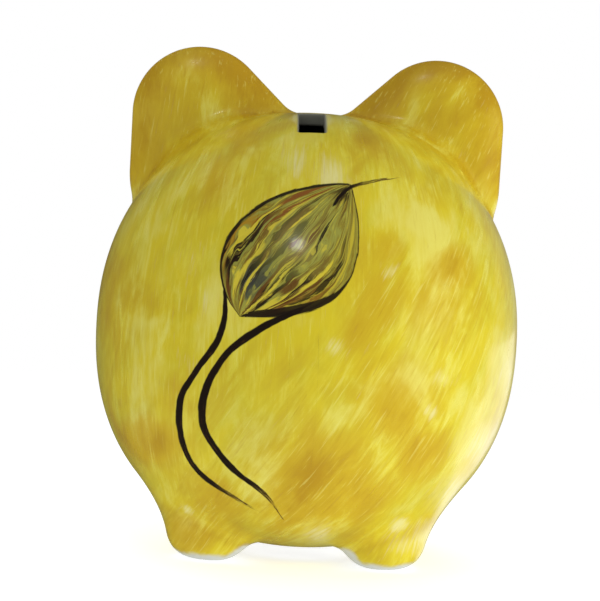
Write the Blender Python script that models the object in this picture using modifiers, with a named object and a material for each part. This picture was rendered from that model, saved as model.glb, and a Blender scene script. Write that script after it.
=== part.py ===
"""A ceramic pig money bank with a rubber stopper, in metres, +Z up.

The bank stands on its four feet at z = 0 and faces -Y, so that its left side is +X. The shell is
hollow, with a coin slot in its back and a stopper hole in its belly. Ears, snout and feet are the
pieces of clay that were formed on their own and joined to the shell before firing.
"""
import math

import bmesh
import bpy
from mathutils import Matrix, Vector

MM = 0.001
GAP = 0.3 * MM                      # left between pieces that touch

# The shell: an egg, measured from its equator.
HALF_WIDTH = 52.4 * MM
HALF_LENGTH = 64.0 * MM
CROWN = 54.7 * MM                   # equator to the top of the back
KEEL = 52.6 * MM                    # equator to the bottom of the belly
CROWN_FULLNESS = 2.15               # 2 is an ellipsoid, more is squarer
KEEL_FULLNESS = 2.27
BELLY_CLEARANCE = 2.2 * MM          # between the belly and the ground
WALL = 3.2 * MM
FLOOR = 5.2 * MM                    # the wall at the belly, where the stopper's seat is sunk

# The snout: an oval disc, measured from the egg's centre.
SNOUT_REACH = 8.0 * MM              # beyond the front of the egg
SNOUT_HALF_WIDTH = 14.0 * MM
SNOUT_HALF_HEIGHT = 11.0 * MM
SNOUT_RISE = -3.0 * MM              # of its axis above the equator
SNOUT_DEPTH = 22.0 * MM             # of the disc before the egg cuts it
SNOUT_EDGE = 3.0 * MM               # rounding of its rim
NOSTRIL_SPACING = 9.6 * MM
NOSTRIL_SIZE = (2.0 * MM, 2.2 * MM, 2.9 * MM)

# The egg's centre, placed so that the origin lies under the middle of the whole bank.
CENTER = Vector((0.0, SNOUT_REACH / 2, BELLY_CLEARANCE + KEEL))

# The coin slot, measured from the egg's centre.
SLOT_WIDTH = 6.3 * MM
SLOT_LENGTH = 27.0 * MM
SLOT_OFFSET = Vector((2.0 * MM, 13.0 * MM, 0.0))   # of its middle; it is cut slightly off the spine
SLOT_TILT = math.radians(-8.0)      # square to the slope of the back there
SLOT_CORNER = 0.8 * MM

# The ears: each is the hull of a small ball at the tip and a larger one at the root.
EAR_TIP = Vector((29.8 * MM, -11.0 * MM, 52.4 * MM))   # the small ball's centre, from the egg's
EAR_TIP_RADIUS = 17.0 * MM
EAR_ROOT_RADIUS = 23.3 * MM
EAR_CORE = 16.0 * MM                # between the two balls' centres
EAR_TILT = math.radians(23.5)       # outward from upright
EAR_FLATTENING = 0.39               # thickness of the ear over its width, all the way down
EAR_CUP_HALF_WIDTH = 11.0 * MM      # the hollow in the front of the ear
EAR_CUP_HALF_HEIGHT = 14.5 * MM
EAR_CUP_DEPTH = 2.6 * MM

# The feet: turned stubs, measured from the egg's centre.
FOOT_SPREAD = 21.5 * MM             # each side of the spine
FOOT_STANCE = 18.0 * MM             # before and behind the middle
FOOT_RADIUS = 10.6 * MM
FOOT_BASE_RADIUS = 5.4 * MM         # of the flat that it stands on
FOOT_HEIGHT = 24.0 * MM             # before the egg cuts it

# The stopper and the hole that it closes, under the egg's centre.
SEAT_RISE = 2.2 * MM                # of the sunk seat above the bottom of the belly
SEAT_RADIUS = 17.0 * MM
HOLE_RADIUS = 13.0 * MM
FLANGE_RADIUS = 15.6 * MM
FLANGE_THICKNESS = 1.8 * MM
BARREL_RADIUS = 12.25 * MM
RIB_RADIUS = HOLE_RADIUS - GAP
BARREL_HEIGHT = 8.0 * MM
BARREL_WALL = 2.2 * MM
WEB_THICKNESS = 2.6 * MM            # of the barrel's closed end, above the flange's top
GRIP_WIDTH = 4.0 * MM               # of the bar between the two finger pockets
POCKET_SIZE = (17.0 * MM, 6.0 * MM, 2.4 * MM)

EGG_SEGMENTS = 48
EGG_RINGS = 28
CAVITY_SEGMENTS = 36
CAVITY_RINGS = 20
TURNED_STEPS = 32
ARC_POINTS = 5

YELLOW = (0.60, 0.47, 0.05)
OCHRE = (0.45, 0.28, 0.03)
RUBBER = (0.62, 0.60, 0.55)


def clear_scene():
    """Remove the objects that a new file starts with."""
    for item in list(bpy.data.objects):
        bpy.data.objects.remove(item, do_unlink=True)


def collection(name):
    """A new collection in the scene."""
    made = bpy.data.collections.new(name)
    bpy.context.scene.collection.children.link(made)
    return made


def material(name, color, roughness):
    """A plain Principled material."""
    made = bpy.data.materials.new(name)
    made.use_nodes = True
    shader = made.node_tree.nodes["Principled BSDF"]
    shader.inputs["Base Color"].default_value = (*color, 1.0)
    shader.inputs["Roughness"].default_value = roughness
    shader.inputs["Metallic"].default_value = 0.0
    return made


def place(bm, name, group, location=(0, 0, 0), rotation=(0, 0, 0)):
    """Make an object of a bmesh, shade it and put it in a collection."""
    bmesh.ops.recalc_face_normals(bm, faces=bm.faces)
    mesh = bpy.data.meshes.new(name)
    bm.to_mesh(mesh)
    bm.free()
    mesh.shade_smooth()
    mesh.set_sharp_from_angle(angle=math.radians(35))
    made = bpy.data.objects.new(name, mesh)
    made.location = location
    made.rotation_euler = rotation
    group.objects.link(made)
    return made


def as_cutter(item):
    """Show an object as wires and keep it out of renders."""
    item.hide_render = True
    item.display_type = "WIRE"
    return item


def cut(item, cutter):
    """Subtract one object from another."""
    step = item.modifiers.new("cut_" + cutter.name, "BOOLEAN")
    step.operation = "DIFFERENCE"
    step.solver = "EXACT"
    step.object = cutter


def egg_surface(direction, crown, keel, inset):
    """The point of the egg's surface that lies in a direction from its centre."""
    above = direction.z > 0
    reach = crown if above else keel
    fullness = CROWN_FULLNESS if above else KEEL_FULLNESS
    level = math.hypot(direction.x / (HALF_WIDTH - inset), direction.y / (HALF_LENGTH - inset))
    measure = (level ** fullness + abs(direction.z / reach) ** fullness) ** (1 / fullness)
    return direction / measure


def egg(name, group, segments, rings, inset=0.0, floor_inset=0.0):
    """A closed egg; the insets shrink it all over and at its bottom."""
    bm = bmesh.new()
    bmesh.ops.create_uvsphere(bm, u_segments=segments, v_segments=rings, radius=1.0)
    for vert in bm.verts:
        vert.co = egg_surface(vert.co, CROWN - inset, KEEL - floor_inset, inset)
    return place(bm, name, group, CENTER)


def ball(name, group, size, location, rotation=(0, 0, 0)):
    """A ball with its own half size along each axis."""
    bm = bmesh.new()
    bmesh.ops.create_uvsphere(bm, u_segments=20, v_segments=12, radius=1.0)
    bmesh.ops.scale(bm, vec=size, verts=bm.verts)
    return place(bm, name, group, location, rotation)


def block(name, group, size, location, rotation=(0, 0, 0), corner=0.0):
    """A box whose upright edges may be rounded."""
    bm = bmesh.new()
    bmesh.ops.create_cube(bm, size=1.0)
    bmesh.ops.scale(bm, vec=size, verts=bm.verts)
    if corner:
        upright = [e for e in bm.edges if abs(e.verts[0].co.z - e.verts[1].co.z) > size[2] / 2]
        bmesh.ops.bevel(bm, geom=upright, offset=corner, segments=2, profile=0.5, affect="EDGES")
    return place(bm, name, group, location, rotation)


def turned(name, group, profile, location):
    """A solid turned about Z from (radius, height) points that run down its outer side."""
    mesh = bpy.data.meshes.new(name)
    points = [(radius, 0.0, height) for radius, height in profile]
    mesh.from_pydata(points, [(i, i + 1) for i in range(len(points) - 1)], [])
    made = bpy.data.objects.new(name, mesh)
    made.location = location
    group.objects.link(made)
    screw = made.modifiers.new("turn", "SCREW")
    screw.axis = "Z"
    screw.steps = TURNED_STEPS
    screw.render_steps = TURNED_STEPS
    screw.use_merge_vertices = True
    screw.merge_threshold = 0.00001
    screw.use_smooth_shade = True
    return made


def arc(center, radii, start, end, points):
    """Points on an elliptical arc in the (radius, height) plane, angles in degrees."""
    made = []
    for i in range(points + 1):
        angle = math.radians(start + (end - start) * i / points)
        made.append((center[0] + radii[0] * math.cos(angle), center[1] + radii[1] * math.sin(angle)))
    return made


def build_shell(parts, cutters):
    """The hollow egg with the coin slot, the stopper's seat and its hole."""
    shell = egg("body_shell", parts, EGG_SEGMENTS, EGG_RINGS)
    cut(shell, as_cutter(egg("cavity", cutters, CAVITY_SEGMENTS, CAVITY_RINGS, WALL, FLOOR)))
    slot_middle = CENTER + SLOT_OFFSET + Vector((0, 0, CROWN))
    slot_size = (SLOT_WIDTH, SLOT_LENGTH, 8 * WALL)
    slot = block("slot", cutters, slot_size, slot_middle, (SLOT_TILT, 0, 0), SLOT_CORNER)
    cut(shell, as_cutter(slot))
    seat_height = BELLY_CLEARANCE + SEAT_RISE
    seat = turned("seat", cutters, [(0, seat_height), (SEAT_RADIUS, seat_height),
                                    (SEAT_RADIUS, -FLOOR), (0, -FLOOR)], (0, CENTER.y, 0))
    cut(shell, as_cutter(seat))
    hole = turned("hole", cutters, [(0, 4 * FLOOR), (HOLE_RADIUS, 4 * FLOOR),
                                    (HOLE_RADIUS, -FLOOR), (0, -FLOOR)], (0, CENTER.y, 0))
    cut(shell, as_cutter(hole))
    return shell


def build_ear(name, side, parts, cutters, envelope):
    """One ear: a tapered lobe with rounded edges and a shallow hollow in front."""
    bm = bmesh.new()
    for radius, drop in ((EAR_TIP_RADIUS, 0.0), (EAR_ROOT_RADIUS, EAR_CORE)):
        size = Matrix.Diagonal((radius, radius * EAR_FLATTENING, radius, 1))
        shape = Matrix.Translation((0, 0, -drop)) @ size
        bmesh.ops.create_uvsphere(bm, u_segments=24, v_segments=16, radius=1.0, matrix=shape)
    bmesh.ops.delete(bm, geom=bm.edges[:], context="EDGES_FACES")
    hull = bmesh.ops.convex_hull(bm, input=bm.verts[:])
    bmesh.ops.delete(bm, geom=hull["geom_interior"], context="VERTS")
    tip = CENTER + Vector((side * EAR_TIP.x, EAR_TIP.y, EAR_TIP.z))
    lean = (0, side * EAR_TILT, 0)
    ear = place(bm, name, parts, tip, lean)
    cup_size = (EAR_CUP_HALF_WIDTH, EAR_CUP_DEPTH, EAR_CUP_HALF_HEIGHT)
    cup_place = tip - Vector((0, EAR_TIP_RADIUS * EAR_FLATTENING, 0))
    cut(ear, as_cutter(ball(name + "_cup", cutters, cup_size, cup_place, lean)))
    cut(ear, envelope)
    return ear


def build_foot(name, side, end, parts, envelope):
    """One foot: a turned stub with a round lower edge and a flat base."""
    round_edge = FOOT_RADIUS - FOOT_BASE_RADIUS
    profile = [(0, FOOT_HEIGHT), (FOOT_RADIUS, FOOT_HEIGHT)]
    profile += arc((FOOT_BASE_RADIUS, round_edge), (round_edge, round_edge), 0, -90, ARC_POINTS)
    profile += [(0, 0)]
    spot = (side * FOOT_SPREAD, CENTER.y + end * FOOT_STANCE, 0)
    foot = turned(name, parts, profile, spot)
    cut(foot, envelope)
    return foot


def build_snout(parts, cutters, envelope):
    """The snout: an oval disc with a round rim and two nostrils."""
    bm = bmesh.new()
    bmesh.ops.create_cone(bm, cap_ends=True, segments=36, radius1=1, radius2=1, depth=1)
    bmesh.ops.scale(bm, vec=(SNOUT_HALF_WIDTH, SNOUT_HALF_HEIGHT, SNOUT_DEPTH), verts=bm.verts)
    rim = [e for e in bm.edges if min(v.co.z for v in e.verts) > SNOUT_DEPTH / 4]
    bmesh.ops.bevel(bm, geom=rim, offset=SNOUT_EDGE, segments=4, profile=0.5, affect="EDGES")
    front = CENTER.y - HALF_LENGTH - SNOUT_REACH
    height = CENTER.z + SNOUT_RISE
    snout = place(bm, "snout", parts, (0, front + SNOUT_DEPTH / 2, height), (math.radians(90), 0, 0))
    for side in (-1, 1):
        spot = (side * NOSTRIL_SPACING / 2, front, height)
        cut(snout, as_cutter(ball("nostril_%+d" % side, cutters, NOSTRIL_SIZE, spot)))
    cut(snout, envelope)
    return snout


def build_stopper(parts, cutters):
    """The rubber stopper: a flange, a ribbed hollow barrel and a grip bar underneath."""
    top = BARREL_HEIGHT
    inner = BARREL_RADIUS - BARREL_WALL
    lead = BARREL_RADIUS - 0.8 * MM
    rib = 0.5 * MM
    profile = [(0, WEB_THICKNESS), (inner, WEB_THICKNESS), (inner, top), (lead, top)]
    for height in (5.6 * MM, 2.4 * MM):
        profile += [(BARREL_RADIUS, height + 2 * rib), (RIB_RADIUS, height + rib)]
        profile += [(RIB_RADIUS, height), (BARREL_RADIUS, height - rib)]
    profile += [(BARREL_RADIUS, 0)]
    edge = FLANGE_THICKNESS / 2
    profile += arc((FLANGE_RADIUS - edge, -edge), (edge, edge), 90, -90, 4)
    profile += [(0, -FLANGE_THICKNESS)]
    flange_top = BELLY_CLEARANCE + SEAT_RISE - GAP
    stopper = turned("stopper", parts, profile, (0, CENTER.y, flange_top))
    for side in (-1, 1):
        spot = (0, CENTER.y + side * (GRIP_WIDTH + POCKET_SIZE[1]) / 2, flange_top - FLANGE_THICKNESS)
        size = (POCKET_SIZE[0], POCKET_SIZE[1], 2 * POCKET_SIZE[2])
        pocket = block("pocket_%+d" % side, cutters, size, spot, corner=POCKET_SIZE[1] / 2.5)
        cut(stopper, as_cutter(pocket))
    return stopper


def main():
    clear_scene()
    parts = collection("piggy_bank")
    cutters = collection("cutters")
    envelope = as_cutter(egg("envelope", cutters, EGG_SEGMENTS, EGG_RINGS, -GAP, -GAP))
    glaze = [build_shell(parts, cutters)]
    accent = [build_snout(parts, cutters, envelope)]
    for name, side in (("left", 1), ("right", -1)):
        accent.append(build_ear("ear_" + name, side, parts, cutters, envelope))
    for row, end in (("front", -1), ("rear", 1)):
        for name, side in (("left", 1), ("right", -1)):
            glaze.append(build_foot("foot_%s_%s" % (row, name), side, end, parts, envelope))
    stopper = build_stopper(parts, cutters)
    for item in glaze:
        item.data.materials.append(material(item.name + "_glaze", YELLOW, 0.2))
    for item in accent:
        item.data.materials.append(material(item.name + "_glaze", OCHRE, 0.2))
    stopper.data.materials.append(material("stopper_rubber", RUBBER, 0.6))


main()
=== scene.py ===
"""The looks of a ceramic pig money bank: brushed glaze on clay pieces, and a rubber stopper.

The shapes are worked out in millimetres from the centre of the egg that the shell is made from,
and go into the frame's metres when a mesh is made. The painted bud is a plain generic ornament.
"""
import math

import bpy
import numpy as np
from mathutils import Matrix, Vector


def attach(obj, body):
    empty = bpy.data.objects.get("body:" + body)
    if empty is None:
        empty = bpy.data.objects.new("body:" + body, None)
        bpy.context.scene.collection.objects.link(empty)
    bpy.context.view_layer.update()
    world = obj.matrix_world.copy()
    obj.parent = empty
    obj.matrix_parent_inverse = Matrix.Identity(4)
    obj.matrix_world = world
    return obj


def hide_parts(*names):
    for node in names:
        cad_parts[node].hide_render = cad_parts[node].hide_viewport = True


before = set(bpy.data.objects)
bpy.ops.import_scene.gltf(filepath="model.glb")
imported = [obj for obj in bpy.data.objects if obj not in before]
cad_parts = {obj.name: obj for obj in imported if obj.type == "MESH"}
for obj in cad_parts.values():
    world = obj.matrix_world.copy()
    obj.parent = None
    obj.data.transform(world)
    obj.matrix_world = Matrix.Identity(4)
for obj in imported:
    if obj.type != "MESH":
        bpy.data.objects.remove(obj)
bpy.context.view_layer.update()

MM = 0.001
TINY = 1e-6

# The shell's egg, its wall and its middle.
HALF_WIDTH = 52.4
HALF_LENGTH = 64.0
CROWN = 54.7
KEEL = 52.6
CROWN_FULLNESS = 2.15
KEEL_FULLNESS = 2.27
WALL = 3.2
BELLY_WALL = 5.2
CENTER = np.array([0.0, 4.0, 54.8])

# The coin slot, and the soft lip around it.
SLOT_MIDDLE = np.array([2.0, 13.0, CROWN])
SLOT_HALF_SIZE = (3.15, 13.5)
SLOT_TILT = math.radians(-8.0)
SLOT_CORNER = 0.8
SLOT_LIP = 0.7

# The sunk seat and the hole for the stopper.
SEAT_HEIGHT = 4.4 - CENTER[2]
SEAT_RADIUS = 17.0
SEAT_EDGE = 0.25
HOLE_RADIUS = 13.0
HOLE_EDGE = 0.5

# The ears: round cones, flattened, with a hollow in front.
EAR_TIP = np.array([29.8, -11.0, 52.4])
EAR_TIP_RADIUS = 17.0
EAR_ROOT_RADIUS = 23.3
EAR_CORE = 16.0
EAR_TILT = math.radians(23.5)
EAR_FLATTENING = 0.39
EAR_CUP = (11.0, 2.6, 14.5)
EAR_FILLET = 2.6
EAR_FILLET_BEHIND = 9.0
EAR_FILLET_GROWS = (-9.0, 2.0)     # from front to back
EAR_FILLET_BROAD = (13.0, 24.0, 35.0, 43.0)  # away from the middle: grows, broad from and to, ends

# The feet: round stubs that run into the belly.
FOOT_SPREAD = 21.5
FOOT_STANCE = 18.0
FOOT_RADIUS = 9.6
FOOT_EDGE = 5.6
FOOT_TOP = -30.0
FOOT_FILLET = 10.7
FOOT_FILLET_AT_SEAT = 1.2

# The snout: an oval disc with a soft rim and two nostrils.
SNOUT_REACH = 8.0
SNOUT_HALF_WIDTH = 14.0
SNOUT_HALF_HEIGHT = 11.0
SNOUT_RISE = -3.0
SNOUT_EDGE = 3.2
SNOUT_DOME = 0.8
SNOUT_BACK = -50.0
SNOUT_FILLET = 3.2
NOSTRIL_SPACING = 9.6
NOSTRIL_SIZE = (2.0, 2.2, 2.9)

# Where a joined piece and the shell change places on the fillet between them, and how fast the
# one that goes under sinks, both as shares of the fillet.
SEAM = 0.37
SINKING = 1.9
SKIRT = 2.4                        # how deep a joined piece reaches into the shell's wall

# The stopper, measured from the top of its flange.
FLANGE_TOP = 4.1 - CENTER[2]
FLANGE_RADIUS = 15.6
FLANGE_THICKNESS = 1.8
FLANGE_DOME = 0.95                 # the flange is this much thinner at its rim
FLANGE_EDGE = 0.35
BARREL_RADIUS = 12.25
BARREL_WALL = 2.2
BARREL_HEIGHT = 8.0
BARREL_TAPER = (0.8, 1.2)          # how far in, and over what height, at the top
BARREL_EDGE = 0.4
RIB_HEIGHTS = (2.65, 5.85)
RIB_RISE = 0.45
RIB_WIDTH = 0.8
WEB_THICKNESS = 2.6
POCKET_HALF_SIZE = (8.5, 3.0, 2.4)
POCKET_CORNER = 2.4
POCKET_OFFSET = 5.0

# The painted bud, in millimetres to the right of and above the egg's centre as seen from behind.
BUD_BASE = np.array([-16.5, 8.5])
BUD_TIP = np.array([7.5, 39.8])
BUD_LEFT = (14.5, 0.54, 0.86)
BUD_RIGHT = (13.8, 1.05, 1.0)

# Brush lines on the back: points along each, and its half width at the start, middle and end.
BRUSH_LINES = {
    "stem_outer": ([(-20.6, 14.5), (-20.2, 8.0), (-21.8, 2.0), (-26.0, -5.0), (-29.5, -13.0),
                    (-28.2, -23.5), (-22.8, -31.0), (-8.8, -39.0)], (0.45, 0.95, 0.2)),
    "stem_inner": ([(-2.5, 11.5), (-11.0, 6.8), (-18.5, 0.6), (-22.9, -7.0), (-24.2, -13.5),
                    (-22.8, -20.0), (-16.2, -27.8), (-8.2, -33.8), (-3.4, -41.0)],
                   (0.6, 1.05, 0.2)),
    "wisp": ([(3.5, 35.0), (7.0, 38.8), (12.0, 40.4), (19.0, 41.6)], (0.5, 0.55, 0.12)),
}
LINE_POINTS = 120
DRY_LENGTH = 14.0                  # how much of a brush line's end runs dry
DRAWING_FROM = 10.0                # the drawing is only on what lies further back than this
BACK_BEGINS = (4.0, 14.0)          # where the back's own spots fade in

# Spots of darker paint, and of paler paint and painted light, on the back: place, radius and strength.
OCHRE_SPOTS = ((3, -31, 27, 1.25), (28, 14, 17, 0.8), (28, -22, 13, 0.8), (-34, -14, 16, 0.35),
               (-20, -38, 16, 0.7), (21, -9, 18, 1.1), (26, 37, 12, 0.45), (-18, 47, 8, 0.7),
               (-24, 39, 11, 0.85), (-26, -48, 10, 1.3), (11, 49, 8, 0.5), (17, 26.5, 8, 0.7),
               (13, -13, 9, 0.6), (10, 6, 7, 0.4), (31, 21, 11, 1.3), (-36, -24, 11, 1.6),
               (-45, 8, 20, 0.55))
# The pale spots are partly pale paint and partly painted light: a painted sheen along the lower right edge,
# two small painted highlights low down, and painted lightening on the shaded left side.
PALE_PAINT_AND_SHEEN_SPOTS = ((-26.5, -41.5, 2.5, 1), (24.5, -42, 5, 1), (3, 41, 9, 1), (17.5, 20.5, 4.5, 0.8),
              (5.5, 3, 5, 0.8), (31.5, -4, 4.5, 0.9), (29, -12, 3.5, 0.9), (-6, 44, 8, 0.8),
              (-24, 12, 5, 0.7), (44, -22, 13, 0.9), (37, -35, 12, 0.9), (50, -4, 11, 0.7),
              (31, -45, 8, 0.9), (26, -47, 8, 0.75), (5, -45, 7, 0.9), (-28, 20, 9, 0.5),
              (-27, -4, 8, 0.35))

# How wide and how strong the paint gathers along each kind of joint, which also paints the shade of the
# crease there, and the fillet above which it thins out.
CREASES = {"foot": (2.2, 1.0, 6.0), "ear": (1.4, 0.85, 3.0), "snout": (1.6, 0.7, 3.0)}

# The washes round the ears, on the ears and on the snout, and the pale rim round the slot.
EAR_WASH = (13.0, 0.62)            # reach and strength
# The extra ochre toward an ear's top and rim is partly painted shade of its rounded edges.
EAR_PAINT_AND_RIM_SHADE = (0.57, 0.9)            # all over an ear, and more at its rim
SNOUT_WASH = 0.6
SLOT_MARGIN = (3.0, 8.0)           # sideways and upward
EYE_PLACE = (15.0, -56.0, 17.0)
EYE_SIZE = (2.6, 12.0, 3.6)
FLOW_RADIUS = 57.0                 # of the ball that the brush strokes run over

# Where the glaze ends on the feet: height, drips, and how much higher it is on their inner sides.
GLAZE_END = 0.1
GLAZE_DRIP = 2.6
GLAZE_RISE = (17.5, 12.5, 3.4)     # from and to this far from the middle, and by how much
GLAZE_EDGE = (-1.0, 0.6)
PAINT_RELIEF = 0.12
RUBBER_RELIEF = 0.08

COLUMNS = 360
ROWS_OUTSIDE = (100, 80)
ROWS_INSIDE = (24, 18)
CLAY_CELL = 0.6
RUBBER_CELL = 0.4

# The stage, in metres, and the camera, in millimetres.
STAGE_HALF_SIZE = 3.0
STAGE_DROP = 0.0002
STAGE_FADE = (0.07, 0.38)
STAGE_COLOR = (0.62, 0.64, 0.68, 1.0)
STAGE_GLOW = 0.65
WHITE = (1.0, 1.0, 1.0, 1.0)
WORLD_LIGHT = 0.56
WORLD_REFLECTED = 0.06
CAMERA_DISTANCE = 750.0
CAMERA_AZIMUTH = math.radians(179.0)
CAMERA_RISE = math.radians(5.0)
CAMERA_ROLL = math.radians(3.4)
CAMERA_OFFSET = (-1.6, 7.9)        # right and up, which frames the bank a little low
LENS = 180.0


# ---- distance fields ----

def smooth_min(first, second, width):
    """The smaller of two fields, with a round fillet where they meet."""
    share = np.maximum(width - np.abs(first - second), 0) / width
    return np.minimum(first, second) - share * share * width / 4


def smooth_max(first, second, width):
    """The larger of two fields, with a round edge where they meet."""
    return -smooth_min(-first, -second, width)


def smooth_ramp(values, start, end):
    """From 0 to 1 between two values, with soft ends."""
    share = np.clip((values - start) / (end - start), 0, 1)
    return share * share * (3 - 2 * share)


def egg_measure(points, inner=False):
    """1 on the egg's outer or inner surface, and proportional to the distance from its centre."""
    x, y, z = np.moveaxis(points, -1, 0)
    above = z > 0
    wall, belly_wall = (WALL, BELLY_WALL) if inner else (0, 0)
    reach = np.where(above, CROWN - wall, KEEL - belly_wall)
    fullness = np.where(above, CROWN_FULLNESS, KEEL_FULLNESS)
    level = np.hypot(x / (HALF_WIDTH - wall), y / (HALF_LENGTH - wall))
    return (level ** fullness + np.abs(z / reach) ** fullness) ** (1 / fullness)


def egg_distance(points):
    """Height above the egg's surface, exact near it."""
    x, y, z = np.moveaxis(points, -1, 0)
    above = z > 0
    reach = np.where(above, CROWN, KEEL)
    power = np.where(above, CROWN_FULLNESS, KEEL_FULLNESS)
    level = np.hypot(x / HALF_WIDTH, y / HALF_LENGTH) + TINY
    rise = np.abs(z) / reach + TINY
    measure = (level ** power + rise ** power) ** (1 / power)
    sideways = (level / measure) ** (power - 1) / level
    upward = (rise / measure) ** (power - 1) / reach
    level_slope = np.hypot(sideways * x / HALF_WIDTH ** 2, sideways * y / HALF_LENGTH ** 2)
    return (measure - 1) / np.hypot(level_slope, upward)


def ellipsoid_distance(offset, half_size):
    """Height above an ellipsoid, exact near it."""
    scaled = offset / half_size
    measure = np.linalg.norm(scaled, axis=-1) + TINY
    slope = np.linalg.norm(scaled / half_size, axis=-1) / measure + TINY
    return (measure - 1) / slope


def rounded(sideways, endways, edge):
    """Two plane distances joined into a solid with a round edge."""
    outside = np.hypot(np.maximum(sideways + edge, 0), np.maximum(endways + edge, 0))
    return outside + np.minimum(np.maximum(sideways, endways) + edge, 0) - edge


def ear_axes(points, side):
    """Places in an ear's own axes: across it, through it and up it, from its tip ball."""
    x = side * points[..., 0] - EAR_TIP[0]
    z = points[..., 2] - EAR_TIP[2]
    across = x * math.cos(EAR_TILT) - z * math.sin(EAR_TILT)
    up = x * math.sin(EAR_TILT) + z * math.cos(EAR_TILT)
    return across, points[..., 1] - EAR_TIP[1], up


def ear_distance(points, side):
    """A flattened round cone with a shallow hollow in its front."""
    across, through, up = ear_axes(points, side)
    thick = through / EAR_FLATTENING
    radius = np.hypot(across, thick) + TINY
    height = up + EAR_CORE
    flare = (EAR_ROOT_RADIUS - EAR_TIP_RADIUS) / EAR_CORE
    straight = math.sqrt(1 - flare * flare)
    level = straight * height - flare * radius
    zones = [level < 0, level > straight * EAR_CORE]
    to_root = np.hypot(radius, height) + TINY
    to_tip = np.hypot(radius, height - EAR_CORE) + TINY
    cone = straight * radius + flare * height - EAR_ROOT_RADIUS
    reach = np.select(zones, [to_root - EAR_ROOT_RADIUS, to_tip - EAR_TIP_RADIUS], cone)
    out = np.select(zones, [radius / to_root, radius / to_tip], straight)
    rise = np.select(zones, [height / to_root, (height - EAR_CORE) / to_tip], flare)
    flat_slope = out * thick / radius / EAR_FLATTENING
    slope = np.sqrt((out * across / radius) ** 2 + flat_slope ** 2 + rise ** 2)
    front = through + EAR_TIP_RADIUS * EAR_FLATTENING
    cup = ellipsoid_distance(np.stack([across, front, up], -1), np.array(EAR_CUP))
    return smooth_max(reach / slope, -cup, 2.5)


def ear_fillet(points):
    """The width of an ear's fillet, which is broad behind the ear and narrow at its ends."""
    behind = smooth_ramp(points[..., 1], *EAR_FILLET_GROWS)
    aside = np.abs(points[..., 0])
    middle = smooth_ramp(aside, *EAR_FILLET_BROAD[:2]) * (1 - smooth_ramp(aside, *EAR_FILLET_BROAD[2:]))
    return EAR_FILLET + (EAR_FILLET_BEHIND - EAR_FILLET) * behind * middle


def foot_distance(points, side, end):
    """A round stub that stands on the ground."""
    sideways = np.hypot(points[..., 0] - side * FOOT_SPREAD, points[..., 1] - end * FOOT_STANCE)
    stub = rounded(sideways - FOOT_RADIUS, -CENTER[2] - points[..., 2], FOOT_EDGE)
    return np.maximum(stub, points[..., 2] - FOOT_TOP)


def foot_fillet(points):
    """The width of a foot's fillet, which is narrow beside the stopper's seat."""
    from_axis = np.hypot(points[..., 0], points[..., 1])
    share = smooth_ramp(from_axis, SEAT_RADIUS + 1, SEAT_RADIUS + 15)
    return FOOT_FILLET_AT_SEAT + (FOOT_FILLET - FOOT_FILLET_AT_SEAT) * share


def snout_distance(points):
    """An oval disc with a soft rim, a slightly domed face and two nostrils."""
    x, y, z = np.moveaxis(points, -1, 0)
    z = z - SNOUT_RISE
    oval = np.hypot(x / SNOUT_HALF_WIDTH, z / SNOUT_HALF_HEIGHT) + TINY
    slope = np.hypot(x / SNOUT_HALF_WIDTH ** 2, z / SNOUT_HALF_HEIGHT ** 2) / oval + TINY
    dome = SNOUT_DOME * np.minimum(oval, 1.5) ** 2
    face = dome - HALF_LENGTH - SNOUT_REACH - y
    disc = np.maximum(rounded((oval - 1) / slope, face, SNOUT_EDGE), y - SNOUT_BACK)
    for side in (-1, 1):
        spot = np.stack([x - side * NOSTRIL_SPACING / 2, y + HALF_LENGTH + SNOUT_REACH, z], -1)
        disc = smooth_max(disc, -ellipsoid_distance(spot, np.array(NOSTRIL_SIZE)), 1.2)
    return disc


def joined_parts():
    """Each clay piece that is joined to the shell: its field, its fillet and its box."""
    parts = {"snout": (snout_distance, lambda points: np.full(points.shape[:-1], SNOUT_FILLET),
                       ((-21, -73, -20), (21, -52, 14)))}
    for name, side in (("ear_left", 1), ("ear_right", -1)):
        low, high = sorted((side * -6.0, side * 50.0))
        parts[name] = (lambda points, side=side: ear_distance(points, side),
                       ear_fillet, ((low, -24, 8), (high, 12, 71)))
    for row, end in (("front", -1), ("rear", 1)):
        for name, side in (("left", 1), ("right", -1)):
            spot = (side * FOOT_SPREAD, end * FOOT_STANCE)
            parts["foot_%s_%s" % (row, name)] = (
                lambda points, side=side, end=end: foot_distance(points, side, end), foot_fillet,
                ((spot[0] - 21, spot[1] - 21, -56), (spot[0] + 21, spot[1] + 21, -27)))
    return parts


def shell_rise(points, egg, parts):
    """How far the fillets lift the shell's surface off the egg."""
    rise = np.zeros(points.shape[:-1])
    for field, fillet, _box in parts.values():
        width = fillet(points)
        apart = field(points) - egg
        share = np.clip((width - apart) / width, 0, 1)
        under = np.maximum(SEAM * width - apart, 0)
        rise += np.maximum(width * share * share / 4 - SINKING / width * under * under, 0)
    return rise


def joined_field(points, field, fillet):
    """The solid of a joined piece: it sinks into the shell past the seam on its fillet."""
    egg = egg_distance(points)
    width = fillet(points)
    part = field(points)
    past = part - egg - SEAM * width
    surface = smooth_min(part, egg, width) + SINKING / width * np.maximum(past, 0) ** 2
    surface = smooth_max(surface, past - 0.6 * width, 0.8)
    surface = smooth_max(surface, -egg - SKIRT, 0.8)
    return np.maximum(surface, -CENTER[2] - points[..., 2])


# ---- meshes ----

def unit(vectors):
    """Vectors made one long."""
    return vectors / np.linalg.norm(vectors, axis=-1, keepdims=True)


def gradient(field, points):
    """The slope of a field at points."""
    step = 0.02
    slopes = []
    for axis in range(3):
        shift = np.zeros(3)
        shift[axis] = step
        slopes.append((field(points + shift) - field(points - shift)) / (2 * step))
    return np.stack(slopes, -1)


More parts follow.
